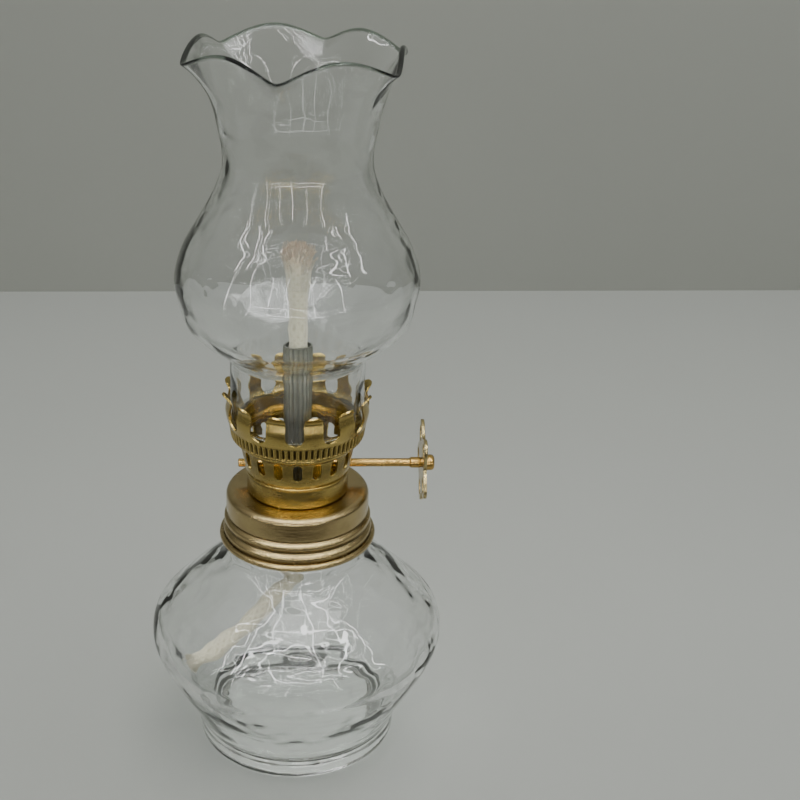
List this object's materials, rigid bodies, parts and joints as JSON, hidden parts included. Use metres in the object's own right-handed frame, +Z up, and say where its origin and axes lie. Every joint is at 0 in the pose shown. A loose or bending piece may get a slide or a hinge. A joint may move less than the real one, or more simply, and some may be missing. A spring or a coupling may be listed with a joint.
{
  "type": "kerosene lamp",
  "caption": "Small glass oil lamp: round glass font, brass screw-on burner with a side thumbwheel that feeds a round wick, and a ruffled glass chimney held by spring prongs.",
  "frame": {"origin": "middle of the font's foot, on the surface that the lamp stands on", "axes": "+Z up along the lamp's axis, +X along the spindle towards the thumbwheel, +Y towards the back"},
  "size_m": [0.078, 0.078, 0.1884],
  "materials": {
    "font_glass": "clear pressed glass, thick, with a faint grey-green tint",
    "chimney_glass": "clear blown glass with a fire-polished ruffled rim",
    "liner_card": "matt pulp board",
    "cap_brass": "pale brass-plated sheet, spun and polished, lightly tarnished",
    "burner_brass": "brass-plated pressed sheet, polished, lightly tarnished",
    "tube_zinc": "dull zinc-plated steel sheet with fine flutes",
    "spindle_brass": "drawn brass wire, satin",
    "thumbwheel_brass": "stamped brass sheet, darkened in its recesses",
    "wick_cotton": "braided cotton cord, frayed and browned at its tip"
  },
  "bodies": {
    "font": {"font": "font_glass"},
    "liner": {"cap_liner": "liner_card"},
    "burner": {"screw_cap": "cap_brass", "burner_collar": "burner_brass", "burner_bowl": "burner_brass", "gallery": "burner_brass", "wick_tube": "tube_zinc"},
    "spindle": {"spindle": "spindle_brass", "feed_wheel": "spindle_brass", "thumbwheel": "thumbwheel_brass", "spindle_button": "spindle_brass"},
    "wick": {"wick": "wick_cotton", "wick_tail": "wick_cotton"},
    "chimney": {"chimney": "chimney_glass"}
  },
  "joints": [
    {"name": "cap_rise", "type": "slide", "parent": "font", "child": "liner", "axis": [0, 0, 1], "range_m": [0, 0.00635]},
    {"name": "cap_turn", "type": "hinge", "parent": "liner", "child": "burner", "pos_m": [0, 0, 0.0724], "axis": [0, 0, 1], "range_deg": [0, 540]},
    {"name": "spindle_turn", "type": "hinge", "parent": "burner", "child": "spindle", "pos_m": [0, 0.00485, 0.07856], "axis": [-1, 0, 0], "range_deg": [-400, 200]},
    {"name": "wick_feed", "type": "slide", "parent": "burner", "child": "wick", "axis": [0, 0, 1], "range_m": [-0.0192, 0.0096], "deforming": ["wick_tail"]},
    {"name": "chimney_lift", "type": "slide", "parent": "burner", "child": "chimney", "axis": [0, 0, 1], "range_m": [0, 0.06]}
  ],
  "couplings": [
    {"joint": "cap_rise", "follows": "cap_turn", "m_per_rad": 0.00067375},
    {"joint": "wick_feed", "follows": "spindle_turn", "m_per_rad": 0.00275}
  ]
}
